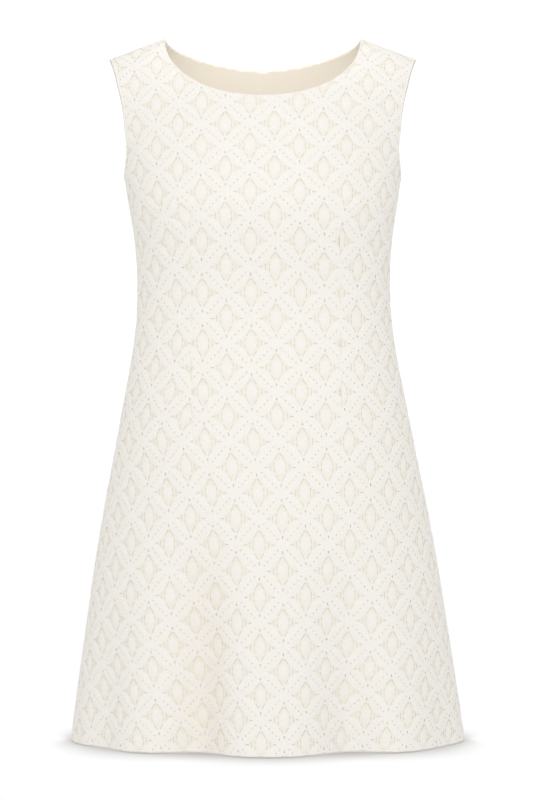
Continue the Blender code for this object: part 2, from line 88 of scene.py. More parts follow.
# The armhole's edge as seen from the front. Below its first row it curves round to the side seam.
ARMHOLE_COLUMNS = ("z", "x")
ARMHOLE = (
    (-0.105, 0.1634),
    (-0.085, 0.1647),
    (-0.066, 0.1678),
    (-0.052, 0.1712),
    (-0.030, 0.1765),
    SHOULDER_TIP[::-1],
)

# Long soft folds that deepen towards the hem. Each row is place, depth, left, right and top_z. place
# is the share of the half girth from the centre line. left and right are the distances from the
# fold's middle to where it is at 0.6 of its depth.
FOLDS = {
    "front": (
        (-0.262, 0.038, 0.027, 0.027, -0.500),
        (0.318, 0.038, 0.037, 0.021, -0.545),
        (-0.640, 0.010, 0.022, 0.022, -0.600),
        (0.700, 0.006, 0.024, 0.024, -0.640),
    ),
    "back": (
        (-0.330, 0.034, 0.024, 0.032, -0.520),
        (0.045, 0.026, 0.026, 0.025, -0.560),
        (0.400, 0.036, 0.028, 0.026, -0.530),
        (-0.700, 0.008, 0.023, 0.023, -0.620),
    ),
}
FOLD_SOFT_START = 0.3  # the share of a fold's height over which it starts

# Fisheye darts. Each row is its place from the centre line, the cloth taken in, top_z and bottom_z.
DARTS = {
    "front": ((-0.086, 0.026, -0.190, -0.455), (0.091, 0.016, -0.190, -0.455)),
    "back": ((-0.080, 0.022, -0.170, -0.460), (0.080, 0.022, -0.170, -0.460)),
}
DART_ROUND = 0.8  # less than 1 widens a dart sooner from its ends

# The lace repeat: junctions and diamonds alternate on a square grid, with a petal across each
# square from junction to junction.
LACE_STEP = 0.0288  # junction to diamond, across the cloth
LACE_ORIGIN = 0.014  # a column of diamonds, from the centre line
SKIRT_NARROWING = 0.935  # the hanging skirt draws the repeat in across
SKIRT_SHIFT = 0.006  # and to +X
NARROWING_Z = (-0.56, -0.42)
# The repeat stretches and slackens up the dress. step counts junctions and diamonds from one on
# that column, and height is how far that one is up the centre line from the hem.
LACE_HEIGHT_COLUMNS = ("step", "height")
LACE_HEIGHTS = (
    (-16, -0.069),
    (-12, 0.041),
    (-8, 0.151),
    (-4, 0.270),
    (0, 0.388),
    (4, 0.503),
    (8, 0.622),
    (12, 0.733),
    (16, 0.843),
    (20, 0.953),
)

# How finely the smooth shapes are sampled.
BODY_ROWS = 110
YOKE_ROWS = 70
YOKE_LENGTH = 0.30
ROW_SAMPLES = 361
PAST_THE_SEAM = 1.12  # how far a row runs on past the side seam, in quarter turns
GRID_STEP = 0.002
MERIDIAN_SAMPLES = 90
NORMAL_REACH = 0.004  # between a place and those that its normal is worked out from
SOLVER_STEPS = 40
WITHIN = 1.001  # keeps a place in a table short of its last entry


def table(names, rows):
    """A table's columns as arrays, by name."""
    return dict(zip(names, np.array(rows, float).T))


def smooth(x, xs, ys):
    """A smooth curve through the points (xs, ys), read at x."""
    slopes = np.gradient(ys, xs)
    k = np.clip(np.searchsorted(xs, x) - 1, 0, len(xs) - 2)
    step = xs[k + 1] - xs[k]
    t = (x - xs[k]) / step
    rise = t * t * (3 - 2 * t)
    start = t * (1 - t) ** 2 * step * slopes[k]
    end = t * t * (t - 1) * step * slopes[k + 1]
    return ys[k] * (1 - rise) + ys[k + 1] * rise + start + end


def ramp(t):
    """0 before 0 and 1 after 1, easing between."""
    t = np.clip(t, 0, 1)
    return t * t * (3 - 2 * t)


def signed_power(value, exponent):
    return np.sign(value) * np.abs(value) ** exponent


def seam_height(x):
    """The shoulder seam's height above x. It runs on in a straight line over the neck."""
    (x0, z0), (x1, z1) = SHOULDER_POINT, SHOULDER_TIP
    return z0 + (z1 - z0) * (np.abs(x) - x0) / (x1 - x0)


def fold_growth(z, top_z):
    """How much of its depth a fold has at height z: none at top_z and all at the hem."""
    t = np.clip((top_z - z) / (top_z - HEM_Z), 0, 1)
    soft = FOLD_SOFT_START
    early = t * t / (2 * soft)
    return np.where(t < soft, early, t - soft / 2) / (1 - soft / 2)


def fold_shape(away, left, right):
    """A fold's profile across the cloth: 1 in its middle, and 0.6 at left and at right from there."""
    return np.exp(-0.5 * (away / np.where(away < 0, left, right)) ** 2)


def along(points):
    """The distance along each row of points from its first."""
    steps = np.linalg.norm(np.diff(points, axis=-2), axis=-1)
    zero = np.zeros(steps.shape[:-1] + (1,))
    return np.concatenate([zero, np.cumsum(steps, axis=-1)], axis=-1)


def read_along(x, places, points):
    """World points read at x from a row of them, which lie at those places along it."""
    return np.stack([np.interp(x, places, points[:, i]) for i in range(3)], 1)


class Panel:
    """The worn surface of one side: p across from its centre line, and q up from the hem."""

    def __init__(self, side):
        self.side = side
        self.facing = 1 if side == "front" else -1
        self.angle = np.linspace(-math.pi / 2, math.pi / 2, ROW_SAMPLES) * PAST_THE_SEAM
        self.middle = ROW_SAMPLES // 2
        self.sections = table(SECTION_COLUMNS, SECTIONS)
        self.yoke = table(YOKE_COLUMNS, YOKE)
        body, body_q = self.body_rows()
        yoke, yoke_q = self.yoke_rows()
        self.bust_q = body_q[-1]
        rows = np.concatenate([body, yoke[1:]])
        self.q = np.concatenate([body_q, body_q[-1] + yoke_q[1:]])
        self.arc = self.from_centre(rows)
        reach = np.abs(self.arc[:, [0, -1]]).max()
        self.p = np.arange(-reach, reach + GRID_STEP, GRID_STEP)
        self.grid = np.stack([read_along(self.p, arc, row) for arc, row in zip(self.arc, rows)])

    def from_centre(self, points):
        """The distance along each row of points from its middle."""
        length = along(points)
        return length - length[:, self.middle : self.middle + 1]

    def placed(self, x, depth, z):
        """World points. The back is the front turned half round, and both lean to +X at the hem."""
        lean = HEM_DRIFT * np.clip((UNDERARM_Z - z) / (UNDERARM_Z - HEM_Z), 0, 1)
        return np.stack([self.facing * x + lean, -self.facing * depth, z], -1)

    def body_rows(self):
        """Level sections from the hem to the bust, with their folds, and the length up the centre."""
        z = np.linspace(HEM_Z, BUST_Z, BODY_ROWS)
        width, depth, square = (
            smooth(z, self.sections["z"], self.sections[k])[:, None]
            for k in ("half_width", self.side, "square")
        )
        x = width * signed_power(np.sin(self.angle), 2 / square)
        y = depth * signed_power(np.cos(self.angle), 2 / square)
        centre = np.column_stack([depth[:, 0], z])
        from_centre = self.from_centre(np.stack([x, y], -1))
        half_girth = np.interp(math.pi / 2, self.angle, from_centre[-1]) * width / width[-1]
        for place, fold_depth, left, right, top_z in FOLDS[self.side]:
            away = from_centre - place * half_girth
            pull = fold_depth * fold_growth(z, top_z)[:, None] * fold_shape(away, left, right)
            across, back = np.gradient(x, axis=1), np.gradient(y, axis=1)
            size = np.hypot(across, back)
            x = x + pull * back / size
            y = y - pull * across / size
        return self.placed(x, y, z[:, None] + 0 * x), along(centre)

    def yoke_point(self, angle, lift):
        """The yoke at a section angle, and at lift from 0, the bust row, to half pi, the seam."""
        square = self.sections["square"][-1]
        span = signed_power(np.sin(angle), 2 / square)
        height = np.abs(np.sin(lift)) ** (2 / YOKE_RISE[self.side])
        base = self.sections["half_width"][-1]
        reach = np.interp(height, self.yoke["height"], self.yoke["reach"])
        x = base * span + (reach - base) * signed_power(span, 4)
        depth = self.sections[self.side][-1] * signed_power(np.cos(angle), 2 / square) * np.cos(lift)
        return x, depth, BUST_Z + (seam_height(x) - BUST_Z) * height

    def yoke_rows(self):
        """Rows at equal lengths up from the bust, which run on a little over the shoulder seam."""
        lift = np.linspace(0, math.pi / 2 * PAST_THE_SEAM, MERIDIAN_SAMPLES)
        curves = self.yoke_point(self.angle[:, None], lift[None, :])
        points = self.placed(*np.broadcast_arrays(*curves))
        q = np.linspace(0, YOKE_LENGTH, YOKE_ROWS)
        rows = [read_along(q, length, curve) for length, curve in zip(along(points), points)]
        return np.stack(rows, 1), q

    def row_index(self, q):
        """Which row q is at, with the share of the way to the next."""
        return np.clip(np.interp(q, self.q, np.arange(len(self.q))), 0, len(self.q) - WITHIN)

    def at(self, p, q):
        """World points on the surface."""
        i = np.clip((p - self.p[0]) / GRID_STEP, 0, len(self.p) - WITHIN)
        j = self.row_index(q)
        i0, j0 = i.astype(int), j.astype(int)
        s, t = (i - i0)[:, None], (j - j0)[:, None]
        low = self.grid[j0, i0] * (1 - s) + self.grid[j0, i0 + 1] * s
        high = self.grid[j0 + 1, i0] * (1 - s) + self.grid[j0 + 1, i0 + 1] * s
        return low * (1 - t) + high * t

    def normal(self, p, q):
        """The outward normal, from points a little to each side."""
        across = self.at(p + NORMAL_REACH, q) - self.at(p - NORMAL_REACH, q)
        up = self.at(p, q + NORMAL_REACH) - self.at(p, np.maximum(q - NORMAL_REACH, 0))
        out = np.cross(across, up)
        return out / np.linalg.norm(out, axis=1)[:, None]

    def side_seam(self, q, sign):
        """p of the side seam at q, on the side of that sign."""
        at_seam = np.array([np.interp(sign * math.pi / 2, self.angle, arc) for arc in self.arc])
        return np.interp(q, self.q, at_seam)

    def yoke_place(self, x, z):
        """p and q of the yoke's points that show at x and z from the front."""
        height = np.clip((z - BUST_Z) / (seam_height(x) - BUST_Z), 0, 1)
        reach = np.interp(height, self.yoke["height"], self.yoke["reach"])
        base = self.sections["half_width"][-1]
        span = np.abs(x) / reach
        for _ in range(SOLVER_STEPS):
            span = span - (base * span + (reach - base) * span**4 - np.abs(x)) / reach
        span = np.minimum(span, 1)
        square = self.sections["square"][-1]
        angle = np.sign(x) * np.arcsin(span ** (square / 2))
        lift = np.arcsin(height ** (YOKE_RISE[self.side] / 2))
        places = [self.yoke_length(a, b) for a, b in zip(angle, lift)]
        q = self.bust_q + np.array(places)
        p = [np.interp(a, self.angle, self.row_arc(b)) for a, b in zip(angle, q)]
        return np.array(p), q

    def seam_place(self, z):
        """q of the side seam at height z, above the bust."""
        q = self.q[self.q >= self.bust_q]
        heights = self.at(self.side_seam(q, 1), q)[:, 2]
        rising = np.argmax(heights)
        return float(np.interp(z, heights[:rising], q[:rising]))

    def yoke_length(self, angle, lift):
        """The length up the yoke from the bust row to lift, at a section angle."""
        lifts = np.linspace(0, lift, MERIDIAN_SAMPLES)
        path = self.placed(*self.yoke_point(np.full(MERIDIAN_SAMPLES, angle), lifts))
        return along(path)[-1]

    def row_arc(self, q):
        """The length from the centre line at each section angle, on the row at q."""
        j = self.row_index(q)
        low = int(j)
        return self.arc[low] * (1 - j + low) + self.arc[low + 1] * (j - low)

    def height_at(self, q):
        """z on the centre line at q."""
        return self.at(np.zeros_like(q), q)[:, 2]


# One piece of the lace's repeat, 1 on each side: a diamond's middle lies at (0, 0) and (1, 1), a
# junction at (1, 0) and (0, 1), and a petal runs from junction to junction between two circles
# about the diamonds. Sizes are shares of LACE_STEP. The diamond at (0, 0) shows its upper side in
# this piece, and the one at (1, 1) its lower side.
PETAL_RADIUS = 1.03
PETAL_EDGE = 0.055  # how far in from its outline a petal stands at its full height
PETAL_RIM = 0.35  # the share of that height that it has at its outline
ON_THE_PETAL = -1e-4  # the outline itself counts as petal
ARC_END = 0.09  # radians left off at either end of an arc that stays inside the tile
EYELETS = (-0.415, -0.205, 0.0, 0.203, 0.408)  # along a petal's middle
EYELET_RADIUS = 0.021
EYELET_CORNERS = 6
MEDALLION = (0.205, 0.285)  # half width and half height
MEDALLION_TOP = 0.62  # the share of those where it is at its full height
MEDALLION_EDGE = (1.15, 0.45)  # where its slope ends and how wide that is, as shares of the same
NET_REACH = 0.57  # from a diamond's middle to where the petals join past it
NET_EDGE = (0.05, 0.09)  # how far before there they start to rise, and how wide that slope is
JUNCTION = (0.14, 0.185)  # half width and half height of the star where petals meet
STAR_EDGE = (1.6, 1.4)
SLIT = ((0.0, 0.645), (0.013, 0.664), (0.018, 0.705), (0.014, 0.745), (0.0, 0.765))
SIDE_GAPS = (
    ((0.243, 0.050), (0.258, 0.045), (0.262, 0.120), (0.258, 0.205), (0.245, 0.195)),
    ((0.395, 0.0), (0.415, 0.0), (0.413, 0.100), (0.405, 0.128), (0.396, 0.115)),
    ((0.527, 0.0), (0.680, 0.0), (0.670, 0.004), (0.605, 0.006), (0.558, 0.013), (0.533, 0.012)),
)
UPPER_GAP = (
    (0.038, 0.500), (0.034, 0.545), (0.050, 0.544), (0.106, 0.453), (0.166, 0.367), (0.214, 0.303),
    (0.207, 0.293), (0.155, 0.359), (0.093, 0.444),
)
LOWER_GAP = (
    (0.057, 0.523), (0.069, 0.528), (0.129, 0.430), (0.211, 0.316), (0.204, 0.309), (0.121, 0.415),
)
# Places along the tile's lower and left sides and inside it that its triangles keep to.
LOWER_SIDE = (0, 0.11, MEDALLION[0], 0.305, 0.395, 0.415, 0.527, 0.680, 0.815, 0.91, 1.0)
LEFT_SIDE = (0.15, MEDALLION[1], 0.40, 0.50, 0.565, 0.645, 0.765, 1 - JUNCTION[1])
NET_PLACES = ((0.32, 0.10), (0.68, 0.90), (0.32, 0.18), (0.68, 0.82), (0.47, 0.06), (0.53, 0.94))

# The tiles of a panel: their columns from the centre line, and how near the panel's edge a tile's
# middle may be when it lies outside, in steps.
TILE_COLUMNS = range(-15, 15)
TILE_REACH = 0.9
WELD_STEPS = 2000  # tiles' points are joined where they agree to this part of a step
LEAST_AREA = 1e-9  # twice the area of a triangle that is left out, in square metres
SAME_PLACE = 1e-7  # points nearer than this are one when an outline is filled
NO_LENGTH = 1e-14  # the square of an edge's length is never taken as less

# How the layers lie, from the panel's surface outwards.
NET_LEVEL = -0.0010
PETAL_RISE = 0.0005  # above the net, as are the next two
MEDALLION_RISE = 0.0006
STAR_RISE = 0.0007
SEAM_DIP = 0.0012  # how far the lace is drawn in along a seam
DART_DIP = 0.0003
SEAM_DIP_WIDTH = 0.0016
# How strongly shade is painted into each fold's trough, darker and warmer.
TROUGH_SHADE_STRENGTH = (1.0, 0.25, 0.2, 0.1)  # one for each fold
TROUGH_SHADE_FADE = 0.2  # metres below a fold's top over which the shade painted into its trough grows
LINING_LEVEL = -0.0014
LINING_WALL = 0.0008
LINING_DIP = 0.8  # the share of the lace's dip that the lining has
LINING_STEP = 0.006  # between its mesh's points, and half of that in a band along the neck
LINING_CLEAR = 0.4  # the share of a step that those points keep from the edge
NECK_BAND = 0.02
HEM_ALLOWANCE = 0.022
HOLE_MARGIN = 0.0022  # between the lace's holes and the panel's edge
DART_MARGIN = 0.0011  # between its holes and a dart's seam

# How many points each of a panel's edges has.
SIDE_POINTS = 120
ARM_POINTS = 24
SEAM_POINTS = 14
NECK_POINTS = 60
HEM_POINTS = 220


def closed_edges(first, count):
    return [(first + i, first + (i + 1) % count) for i in range(count)]


def open_edges(first, count):
    return [(first + i, first + i + 1) for i in range(count - 1)]


def turned(points):
    """The points turned half round the tile's middle."""
    return 1 - np.asarray(points, float)


def petal_arc(inset, count):
    """The petal's edge on the side of (0, 0), drawn in by inset, inside the tile."""
    radius = PETAL_RADIUS - inset
    if radius > 1:
        start = math.asin(1 / radius)
        turn = np.linspace(math.pi / 2 - start, start, count)
    else:
        turn = np.linspace(ARC_END, math.pi / 2 - ARC_END, count)
    return 1 - radius * np.column_stack([np.cos(turn), np.sin(turn)])


def arch(size, count):
    """A quarter of an oval about (0, 0)."""
    turn = np.linspace(0, math.pi / 2, count)
    return np.column_stack([size[0] * np.cos(turn), size[1] * np.sin(turn)])


def tile_gaps():
    """The holes in a tile, as closed outlines."""
    gaps = [np.array(SLIT), turned(SLIT), np.array(UPPER_GAP), turned(LOWER_GAP)]
    for gap in SIDE_GAPS:
        gaps += [np.array(gap), turned(gap)]
    turn = (np.arange(EYELET_CORNERS) + 0.5) * 2 * math.pi / EYELET_CORNERS
    ring = EYELET_RADIUS * np.column_stack([np.cos(turn), np.sin(turn)])
    for place in EYELETS:
        gaps.append((0.5 + place / math.sqrt(2), 0.5 - place / math.sqrt(2)) + ring)
    return gaps


def inside(points, loop):
    """Whether each point is inside the closed loop."""
    found = np.zeros(len(points), bool)
    for (x0, y0), (x1, y1) in zip(loop, np.roll(loop, -1, axis=0)):
        spans = (y0 > points[:, 1]) != (y1 > points[:, 1])
        if y0 != y1:
            found ^= spans & (points[:, 0] < (x1 - x0) * (points[:, 1] - y0) / (y1 - y0) + x0)
    return found


def filled(points, edges, loop=None):
    """A triangulation of the points, kept to the loop if there is one: places and triangles."""
    faces = [list(range(len(loop)))] if loop is not None else []
    if loop is not None:
        edges = [(a + len(loop), b + len(loop)) for a, b in edges]
        points = np.vstack([loop, points]) if len(points) else loop
    kind = 1 if loop is not None else 0
    vectors = [Vector(v) for v in points]
    out, _, found, *_ = delaunay_2d_cdt(vectors, edges, faces, kind, SAME_PLACE)
    return np.array([tuple(v) for v in out]), np.array([tuple(f) for f in found if len(f) == 3])


def lace_tile():
    """The tile's places and triangles, and which triangles are in its holes."""
    gaps = tile_gaps()
    outline = [(t, 0) for t in LOWER_SIDE] + [(0, t) for t in LEFT_SIDE]
    points, edges = [*outline, *turned(outline)], []
    for gap in gaps:
        edges += closed_edges(len(points), len(gap))
        points += [*gap]
    medallion_top = [size * MEDALLION_TOP for size in MEDALLION]
    petals = petal_arc(0, 10), petal_arc(PETAL_EDGE, 7)
    medallions = arch(MEDALLION, 6), arch(medallion_top, 4)
    for line in petals + medallions:
        for shape in (line, turned(line)):
            edges += open_edges(len(points), len(shape))
            points += [*shape]
    star = arch(JUNCTION, 4)[1:-1] * (-1, 1) + (1, 0)
    points += [*star, *turned(star), *NET_PLACES]
    points = np.clip(np.array(points), 0, 1)
    places, faces = filled(points, edges)
    middles = places[faces].mean(1)
    gone = np.zeros(len(faces), bool)
    for gap in gaps:
        gone |= inside(middles, gap)
    return places, faces, gone


def tile_rise(places):
    """How far the lace stands out from the net at places in the tile."""
    x, y = places.T
    from_diamonds = np.hypot(x, y), np.hypot(1 - x, 1 - y)
    depth = PETAL_RADIUS - np.maximum(*from_diamonds)
    reach = np.minimum(*from_diamonds)
    on_petal = PETAL_RIM * (depth > ON_THE_PETAL) + (1 - PETAL_RIM) * ramp(depth / PETAL_EDGE)
    before, slope = NET_EDGE
    rise = PETAL_RISE * np.maximum(on_petal, ramp((reach - NET_REACH + before) / slope))
    medallions = ((x, y), (1 - x, 1 - y)), MEDALLION, MEDALLION_RISE, MEDALLION_EDGE
    stars = ((1 - x, y), (x, 1 - y)), JUNCTION, STAR_RISE, STAR_EDGE
    for corners, size, height, (end, width) in (medallions, stars):
        for across, up in corners:
            r = np.hypot(across / size[0], up / size[1])
            rise = np.maximum(rise, height * ramp((end - r) / width))
    return rise


def dart_shape(dart, z):
    """How much cloth a dart has taken in at height z."""
    _, intake, top_z, bottom_z = dart
    t = np.clip((z - bottom_z) / (top_z - bottom_z), 0, 1)
    return intake * np.sin(math.pi * t) ** DART_ROUND


def lace_height(step):
    """q of a row of the lace, from its number of steps."""
    heights = table(LACE_HEIGHT_COLUMNS, LACE_HEIGHTS)
    return smooth(step, heights["step"], heights["height"])


def worn_from_cut(panel, u, v):
    """Where the points u steps across and v steps up of the flat lace lie on the worn panel."""
    q = lace_height(v)
    z = panel.height_at(np.clip(q, 0, panel.q[-1]))
    low, high = NARROWING_Z
    upper = ramp((z - low) / (high - low))
    across = LACE_ORIGIN + LACE_STEP * u
    p = across * (SKIRT_NARROWING + (1 - SKIRT_NARROWING) * upper) + SKIRT_SHIFT * (1 - upper)
    for dart in DARTS[panel.side]:
        sign = math.copysign(1, dart[0])
        p = p - sign * np.clip(sign * p - abs(dart[0]), 0, dart_shape(dart, z))
    return np.column_stack([p, q])


def edges_of(panel):
    """The panel's edges as chains of p and q, anticlockwise from the hem's left end."""
    top_q = panel.seam_place(UNDERARM_Z)
    rows = np.linspace(0, top_q, SIDE_POINTS)
    armhole = table(ARMHOLE_COLUMNS, ARMHOLE)
    z = np.linspace(armhole["z"][0], armhole["z"][-1], ARM_POINTS)
    arm_p, arm_q = panel.yoke_place(smooth(z, armhole["z"], armhole["x"]), z)
    turn = np.linspace(0, math.pi / 2, ARM_POINTS)[:-1]
    side_p = panel.side_seam(np.array([top_q]), 1)[0]
    scoop_p = side_p - (side_p - arm_p[0]) * np.sin(turn)
    scoop_q = arm_q[0] - (arm_q[0] - top_q) * np.cos(turn)
    arm = np.column_stack([np.concatenate([scoop_p, arm_p]), np.concatenate([scoop_q, arm_q])])
    seam_x = np.linspace(SHOULDER_TIP[0], SHOULDER_POINT[0], SEAM_POINTS)
    seam = np.column_stack(panel.yoke_place(seam_x, seam_height(seam_x)))
    arm[-1] = seam[0]
    turn = np.linspace(0, math.pi / 2, NECK_POINTS)
    power = 2 / NECK_ROUND[panel.side]
    neck_x = NECK_HALF_WIDTH * np.cos(turn) ** power
    neck_z = SHOULDER_POINT[1] - NECK_DROP[panel.side] * np.sin(turn) ** power
    neck = np.column_stack(panel.yoke_place(neck_x, np.minimum(neck_z, seam_height(neck_x))))
    neck[0] = seam[-1]
    mirror = (-1, 1)
    left, right = (panel.side_seam(np.zeros(1), sign)[0] for sign in (-1, 1))
    hem_p = np.linspace(left, right, HEM_POINTS)
    return {
        "hem": np.column_stack([hem_p, 0 * hem_p]),
        "side_right": np.column_stack([panel.side_seam(rows, 1), rows]),
        "arm_right": arm,
        "seam_right": seam,
        "neck": np.vstack([neck, (neck * mirror)[-2::-1]]),
        "seam_left": (seam * mirror)[::-1],
        "arm_left": (arm * mirror)[::-1],
        "side_left": np.column_stack([panel.side_seam(rows, -1), rows])[::-1],
    }


def loop_of(edges):
    """The edges as one outline, open and closed."""
    loop = np.vstack([chain[:-1] for chain in edges.values()])
    return loop, np.vstack([loop, loop[:1]])


def nearest_on(points, chain):
    """The nearest place on the chain to each point, and how far it is."""
    best = np.full(len(points), np.inf)
    place = points.copy()
    for start, end in zip(chain[:-1], chain[1:]):
        edge = end - start
        t = np.clip((points - start) @ edge / max(edge @ edge, NO_LENGTH), 0, 1)
        foot = start + t[:, None] * edge
        away = np.linalg.norm(points - foot, axis=1)
        closer = away < best
        best[closer] = away[closer]
        place[closer] = foot[closer]
    return place, best


def dart_distance(panel, places):
    """How far each place is from the nearest dart."""
    away = np.full(len(places), np.inf)
    z = panel.height_at(places[:, 1])
    for place, _, top_z, bottom_z in DARTS[panel.side]:
        past = np.maximum(np.maximum(z - top_z, bottom_z - z), 0)
        away = np.minimum(away, np.hypot(places[:, 0] - place, past))
    return away


def seam_dip(panel, edges, places):
    """How far the cloth is drawn in along its seams and darts."""
    away = np.full(len(places), np.inf)
    for name in ("side_right", "side_left", "seam_right", "seam_left"):
        chain = edges[name][::4] if "side" in name else edges[name]
        away = np.minimum(away, nearest_on(places, chain)[1])
    dip = SEAM_DIP * np.exp(-((away / SEAM_DIP_WIDTH) ** 2))
    from_dart = dart_distance(panel, places)
    return np.maximum(dip, DART_DIP * np.exp(-((from_dart / SEAM_DIP_WIDTH) ** 2)))


def painted_trough_shade(panel, places):
    """How much shade is painted into a fold's trough at each place, darker and warmer. The first
    fold's is the strongest.
    """
    p, q = places.T
    z = panel.height_at(q)
    trough_shade = np.zeros(len(p))
    for shade_strength, (place, _, left, right, top_z) in zip(TROUGH_SHADE_STRENGTH, FOLDS[panel.side]):
        shape = fold_shape(p - place * panel.side_seam(q, 1), left, right)
        trough_shade = np.maximum(trough_shade, shade_strength * ramp((top_z - z) / TROUGH_SHADE_FADE) * shape)
    return trough_shade


def offset_points(panel, places, offset):
    """World points over places on the panel, moved out by offset."""
    p, q = places[:, 0], places[:, 1]
    return panel.at(p, q) + panel.normal(p, q) * np.reshape(offset, (-1, 1))


def add_mesh(name, verts, faces, material, flat=None, values=None):
    """A smooth mesh piece. flat gives its UV map in metres, and values its float attributes."""
    mesh = bpy.data.meshes.new(name)
    faces = np.asarray(faces)
    mesh.vertices.add(len(verts))
    mesh.vertices.foreach_set("co", np.asarray(verts, np.float32).ravel())
    size = faces.shape[1]
    mesh.loops.add(faces.size)
    mesh.loops.foreach_set("vertex_index", faces.ravel().astype(np.int32))
    mesh.polygons.add(len(faces))
    mesh.polygons.foreach_set("loop_start", np.arange(0, faces.size, size, dtype=np.int32))
    mesh.update(calc_edges=True)
    mesh.validate()
    if flat is not None:
        uv = mesh.uv_layers.new(name="cloth")
        index = np.empty(len(mesh.loops), np.int32)
        mesh.loops.foreach_get("vertex_index", index)
        uv.data.foreach_set("uv", np.asarray(flat, np.float32)[index].ravel())
    for key, value in (values or {}).items():
        attribute = mesh.attributes.new(key, "FLOAT", "POINT")
        attribute.data.foreach_set("value", np.asarray(value, np.float32))
    mesh.shade_smooth()
    mesh.materials.append(material)
    obj = bpy.data.objects.new(name, mesh)
    bpy.context.scene.collection.objects.link(obj)
    return obj


def compact(faces, *arrays):
    """The triangles, and the arrays with a row for each point, without the points that none uses."""
    used, faces = np.unique(faces, return_inverse=True)
    return [faces.reshape(-1, 3)] + [array[used] for array in arrays]


def laid_tiles(panel, loop, closed):
    """The tiles that reach the panel, joined: places, rises, triangles, and which are holes."""
    tile, tile_faces, in_hole = lace_tile()
    rise = tile_rise(tile)
    steps = table(LACE_HEIGHT_COLUMNS, LACE_HEIGHTS)["step"]
    grid = [(a, b) for b in range(int(steps[0]), int(steps[-1])) for a in TILE_COLUMNS]
    middles = np.array(grid, float) + 0.5
    worn = worn_from_cut(panel, middles[:, 0], middles[:, 1])
    near = inside(worn, loop) | (nearest_on(worn, closed[::3])[1] < LACE_STEP * TILE_REACH)
    all_places, all_faces = [], []
    for (a, b), wanted in zip(grid, near):
        if not wanted:
            continue
        places, faces = tile.copy(), tile_faces
        if (a + b) % 2:  # the diamond is at the tile's other side
            places[:, 0] = 1 - places[:, 0]
            faces = tile_faces[:, ::-1]
        all_faces.append(faces + len(tile) * len(all_places))
        all_places.append(places + (a, b))
    count = len(all_places)
    places, rises, holes = np.vstack(all_places), np.tile(rise, count), np.tile(in_hole, count)
    keys = np.round(places * WELD_STEPS).astype(np.int64)
    _, first, index = np.unique(keys, axis=0, return_index=True, return_inverse=True)
    return places[first], rises[first], index.reshape(-1)[np.vstack(all_faces)], holes


def lace_panel(panel, name, material):
    """The lace of one panel: its tiles laid over the cloth, and fitted to the panel's edges."""
    edges = edges_of(panel)
    loop, closed = loop_of(edges)
    places, rises, faces, holes = laid_tiles(panel, loop, closed)
    worn = worn_from_cut(panel, places[:, 0], places[:, 1])
    within = inside(worn, loop)
    inner = within & (nearest_on(worn, closed[::2])[1] > HOLE_MARGIN)
    inner &= dart_distance(panel, worn) > DART_MARGIN
    open_net = holes & inner[faces].all(1)
    faces = faces[within[faces].any(1) & ~open_net]
    faces, places, worn, rises, within = compact(faces, places, worn, rises, within)
    worn[~within] = nearest_on(worn[~within], closed)[0]
    a, b, c = worn[faces[:, 0]], worn[faces[:, 1]], worn[faces[:, 2]]
    area = (b[:, 0] - a[:, 0]) * (c[:, 1] - a[:, 1]) - (b[:, 1] - a[:, 1]) * (c[:, 0] - a[:, 0])
    faces, places, worn, rises = compact(faces[area > LEAST_AREA], places, worn, rises)
    verts = offset_points(panel, worn, NET_LEVEL + rises - seam_dip(panel, edges, worn))
    # The trough values are shade painted into the folds' troughs, darker and warmer.
    values = {"rise": rises / STAR_RISE, "painted_trough_shade": painted_trough_shade(panel, worn)}
    return add_mesh(name, verts, faces, material, places * LACE_STEP, values)


def lining_panel(panel, name, material):
    """The lining of one panel, a wall of even thickness."""
    edges = edges_of(panel)
    loop, closed = loop_of(edges)
    grids = []
    for step, near_neck in ((LINING_STEP, False), (LINING_STEP / 2, True)):
        p, q = (np.arange(low, high, step) for low, high in zip(loop.min(0), loop.max(0)))
        grid = np.stack(np.meshgrid(p, q), -1).reshape(-1, 2)
        grid = grid[inside(grid, loop) & (nearest_on(grid, closed)[1] > step * LINING_CLEAR)]
        at_neck = nearest_on(grid, edges["neck"])[1] < NECK_BAND
        grids.append(grid[at_neck == near_neck])
    places, faces = filled(np.vstack(grids), [], loop)
    level = LINING_LEVEL - LINING_DIP * seam_dip(panel, edges, places)
    verts = offset_points(panel, places, level)
    obj = add_mesh(name, verts, faces, material, places, {"height": places[:, 1]})
    solidify = obj.modifiers.new("wall", "SOLIDIFY")
    solidify.thickness = LINING_WALL
    solidify.offset = -1
    return obj


def strip(panel, name, chain, section, material):
    """A band that follows a chain of the panel's edge, with one of the sections below."""
    inset, offset, shade = np.array(section).T
    run = np.gradient(chain, axis=0)
    run = run / np.linalg.norm(run, axis=1)[:, None]
    inward = np.column_stack([-run[:, 1], run[:, 0]])
    count, faces = len(chain), []
    verts = np.vstack([
        offset_points(panel, chain + inward * i, np.full(count, o)) for i, o in zip(inset, offset)
    ])
    length, around = along(chain), along(np.column_stack([inset, offset]))
    flat = np.vstack([np.column_stack([length, np.full(count, a)]) for a in around])
    for r in range(len(section) - 1):
        low, high = r * count, (r + 1) * count
        faces += [(low + i, high + i, high + i + 1, low + i + 1) for i in range(count - 1)]
    return add_mesh(name, verts, faces, material, flat, {"shade": np.repeat(shade, count)})
